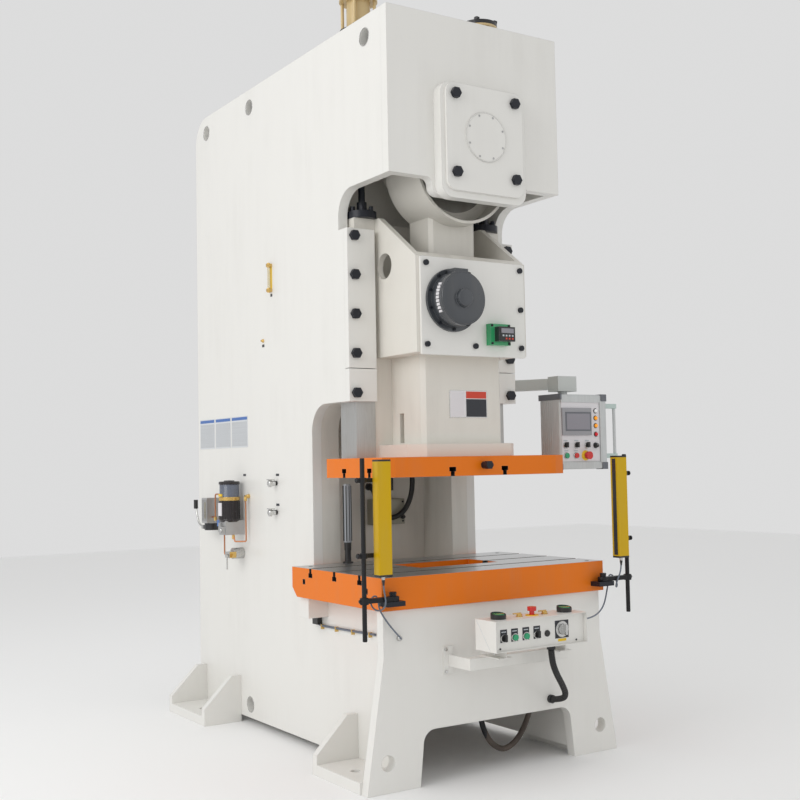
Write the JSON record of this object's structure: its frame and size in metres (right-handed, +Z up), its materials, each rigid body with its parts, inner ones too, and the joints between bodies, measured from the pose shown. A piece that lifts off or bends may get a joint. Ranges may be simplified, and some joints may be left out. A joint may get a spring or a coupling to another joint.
{
  "type": "mechanical stamping press",
  "caption": "C-frame crank press: welded plate frame, geared crank drive, connecting rod and guided slide over a slotted bolster, with console, pendant and light curtains.",
  "frame": {"origin": "on the floor, at the centre of the four anchor holes in the feet", "axes": "+Z up, +X to the operator's right when facing the machine, +Y from the operator towards the rear guard"},
  "size_m": [1.801, 2.5415, 3.658],
  "materials": {
    "cream_paint": "semi-gloss enamel over welded plate",
    "orange_paint": "semi-gloss orange enamel",
    "ground_steel": "ground, lightly oiled",
    "dark_steel": "blackened fasteners",
    "bronze": "machined bronze",
    "cast_iron": "machined casting",
    "rubber_belt": "belt rubber",
    "grey_gauge": "dark grey hammer enamel",
    "tan_tube": "tan air cylinder tube with dark caps",
    "black_rubber": "corrugated hose",
    "cable_grey": "grey cable jacket",
    "yellow_bar": "yellow powder-coated extrusion",
    "black_metal": "black oxide steel",
    "pump_black": "dark moulded housing with clear tank",
    "copper": "bare copper tube",
    "chrome_fitting": "plated fittings",
    "pendant_grey": "grey anodised profile and light front panel",
    "button_green": "green push cap",
    "button_red": "red push cap",
    "knob_black": "black selector knob"
  },
  "bodies": {
    "frame": {"side_plate_left": "cream_paint", "side_plate_right": "cream_paint", "bed_front_plate": "cream_paint", "head_front_plate": "cream_paint", "frame_columns": "cream_paint", "inner_plates": "cream_paint", "rear_guard": "cream_paint", "machine_feet": "cream_paint", "bearing_cap": "cream_paint", "frame_bolts": "dark_steel", "shaft_bushes": "bronze", "gib_plates": "cream_paint", "motor": "grey_gauge", "drive_belt": "rubber_belt", "balance_cylinders": "tan_tube", "bolster": "orange_paint", "console_box": "cream_paint", "console_bracket": "cream_paint", "console_hose": "black_rubber", "bed_hose": "black_rubber", "throat_hose": "black_rubber", "curtain_cables": "cable_grey", "curtain_mounts": "black_metal", "lube_pumps": "pump_black", "lube_pipes": "copper", "wall_fittings": "chrome_fitting"},
    "crank": {"crankshaft": "ground_steel", "main_gear": "cast_iron"},
    "rod": {"connecting_rod": "cream_paint", "adjusting_screw": "ground_steel"},
    "slide": {"slide_body": "cream_paint", "slide_cover": "cream_paint", "slide_guides": "ground_steel", "slide_plate": "orange_paint", "slide_bolts": "dark_steel", "slide_gauges": "grey_gauge", "balance_rods": "dark_steel"},
    "pinion": {"pinion_shaft": "ground_steel"},
    "wheel": {"flywheel": "cast_iron"},
    "motor_rotor": {"motor_pulley": "cast_iron"},
    "pendant_support": {"pendant_arm": "pendant_grey"},
    "pendant": {"pendant_box": "pendant_grey"},
    "curtain_left_arm": {"curtain_left": "yellow_bar"},
    "curtain_right_arm": {"curtain_right": "yellow_bar"},
    "hand_lever": {"pump_lever": "ground_steel"},
    "drain_lever": {"drain_handle": "chrome_fitting"},
    "palm_left": {"palm_button_left": "button_green"},
    "palm_right": {"palm_button_right": "button_green"},
    "console_stop_head": {"console_stop": "button_red"},
    "console_start": {"console_push_left": "button_green"},
    "console_reset": {"console_push_right": "button_green"},
    "console_mode": {"console_selector_left": "knob_black"},
    "console_feed": {"console_selector_right": "knob_black"},
    "console_cam": {"console_cam_switch": "chrome_fitting"},
    "pendant_stop_head": {"pendant_stop": "button_red"},
    "pendant_green": {"pendant_push_green": "button_green"},
    "pendant_red": {"pendant_push_red": "button_red"},
    "pendant_knob_1": {"pendant_selector_1": "knob_black"},
    "pendant_knob_2": {"pendant_selector_2": "knob_black"},
    "pendant_knob_3": {"pendant_selector_3": "knob_black"}
  },
  "joints": [
    {"name": "crank_turn", "type": "hinge", "parent": "frame", "child": "crank", "pos_m": [0, -0.675, 2.876], "axis": [0, 1, 0], "range_deg": [0, 180]},
    {"name": "conrod_pin", "type": "hinge", "parent": "crank", "child": "rod", "pos_m": [0, -0.695, 2.776], "axis": [0, 1, 0], "range_deg": [-180, 0]},
    {"name": "slide_stroke", "type": "slide", "parent": "frame", "child": "slide", "axis": [0, 0, 1], "range_m": [0, 0.2]},
    {"name": "pinion_spin", "type": "hinge", "parent": "frame", "child": "pinion", "pos_m": [0, 0.225, 2.426], "axis": [0, 1, 0], "range_deg": [-720, 0]},
    {"name": "flywheel_spin", "type": "hinge", "parent": "frame", "child": "wheel", "pos_m": [0, 0.875, 2.426], "axis": [0, 1, 0], "continuous": true},
    {"name": "motor_spin", "type": "hinge", "parent": "frame", "child": "motor_rotor", "pos_m": [0, 0.825, 1.775], "axis": [0, 1, 0], "continuous": true},
    {"name": "pendant_swing", "type": "hinge", "parent": "frame", "child": "pendant_support", "pos_m": [0.56, -0.375, 1.778], "axis": [0, 0, 1], "range_deg": [-5, 75]},
    {"name": "pendant_turn", "type": "hinge", "parent": "pendant_support", "child": "pendant", "pos_m": [0.748, -0.675, 1.757], "axis": [0, 0, 1], "range_deg": [-60, 60]},
    {"name": "curtain_left_swing", "type": "hinge", "parent": "frame", "child": "curtain_left_arm", "pos_m": [-0.592, -1.111, 0.817], "axis": [0, 0, 1], "range_deg": [0, 80]},
    {"name": "curtain_right_swing", "type": "hinge", "parent": "frame", "child": "curtain_right_arm", "pos_m": [0.592, -1.111, 0.817], "axis": [0, 0, -1], "range_deg": [0, 80]},
    {"name": "pump_lever_swing", "type": "hinge", "parent": "frame", "child": "hand_lever", "pos_m": [-0.562, 0.915, 1.046], "axis": [1, 0, 0], "range_deg": [-35, 20]},
    {"name": "drain_turn", "type": "hinge", "parent": "frame", "child": "drain_lever", "pos_m": [-0.6, 0.537, 0.905], "axis": [1, 0, 0], "range_deg": [0, 90]},
    {"name": "palm_left_press", "type": "slide", "parent": "frame", "child": "palm_left", "axis": [0, 0, -1], "range_m": [0, 0.006], "stiffness_N_per_m": 400},
    {"name": "palm_right_press", "type": "slide", "parent": "frame", "child": "palm_right", "axis": [0, 0, -1], "range_m": [0, 0.006], "stiffness_N_per_m": 400},
    {"name": "console_stop_press", "type": "slide", "parent": "frame", "child": "console_stop_head", "axis": [0, 0, -1], "range_m": [0, 0.005], "stiffness_N_per_m": 400},
    {"name": "console_start_press", "type": "slide", "parent": "frame", "child": "console_start", "axis": [0, 1, 0], "range_m": [0, 0.004], "stiffness_N_per_m": 400},
    {"name": "console_reset_press", "type": "slide", "parent": "frame", "child": "console_reset", "axis": [0, 1, 0], "range_m": [0, 0.004], "stiffness_N_per_m": 400},
    {"name": "console_mode_turn", "type": "hinge", "parent": "frame", "child": "console_mode", "pos_m": [-0.199, -1.365, 0.64], "axis": [0, 1, 0], "range_deg": [-45, 45]},
    {"name": "console_feed_turn", "type": "hinge", "parent": "frame", "child": "console_feed", "pos_m": [-0.02, -1.365, 0.64], "axis": [0, 1, 0], "range_deg": [-45, 45]},
    {"name": "console_cam_turn", "type": "hinge", "parent": "frame", "child": "console_cam", "pos_m": [0.12, -1.365, 0.651], "axis": [0, 1, 0], "range_deg": [-90, 90]},
    {"name": "pendant_stop_press", "type": "slide", "parent": "pendant", "child": "pendant_stop_head", "axis": [0, 1, 0], "range_m": [0, 0.005], "stiffness_N_per_m": 400},
    {"name": "pendant_green_press", "type": "slide", "parent": "pendant", "child": "pendant_green", "axis": [0, 1, 0], "range_m": [0, 0.004], "stiffness_N_per_m": 400},
    {"name": "pendant_red_press", "type": "slide", "parent": "pendant", "child": "pendant_red", "axis": [0, 1, 0], "range_m": [0, 0.004], "stiffness_N_per_m": 400},
    {"name": "pendant_knob_1_turn", "type": "hinge", "parent": "pendant", "child": "pendant_knob_1", "pos_m": [0.672, -0.785, 1.457], "axis": [0, 1, 0], "range_deg": [-45, 45]},
    {"name": "pendant_knob_2_turn", "type": "hinge", "parent": "pendant", "child": "pendant_knob_2", "pos_m": [0.744, -0.785, 1.457], "axis": [0, 1, 0], "range_deg": [-45, 45]},
    {"name": "pendant_knob_3_turn", "type": "hinge", "parent": "pendant", "child": "pendant_knob_3", "pos_m": [0.816, -0.785, 1.457], "axis": [0, 1, 0], "range_deg": [-45, 45]}
  ],
  "couplings": [
    {"joint": "conrod_pin", "follows": "crank_turn", "ratio": -1},
    {"joint": "slide_stroke", "follows": "crank_turn", "m_per_rad": 0.063661},
    {"joint": "pinion_spin", "follows": "crank_turn", "ratio": -4},
    {"joint": "motor_spin", "follows": "flywheel_spin", "ratio": 3.8079}
  ]
}
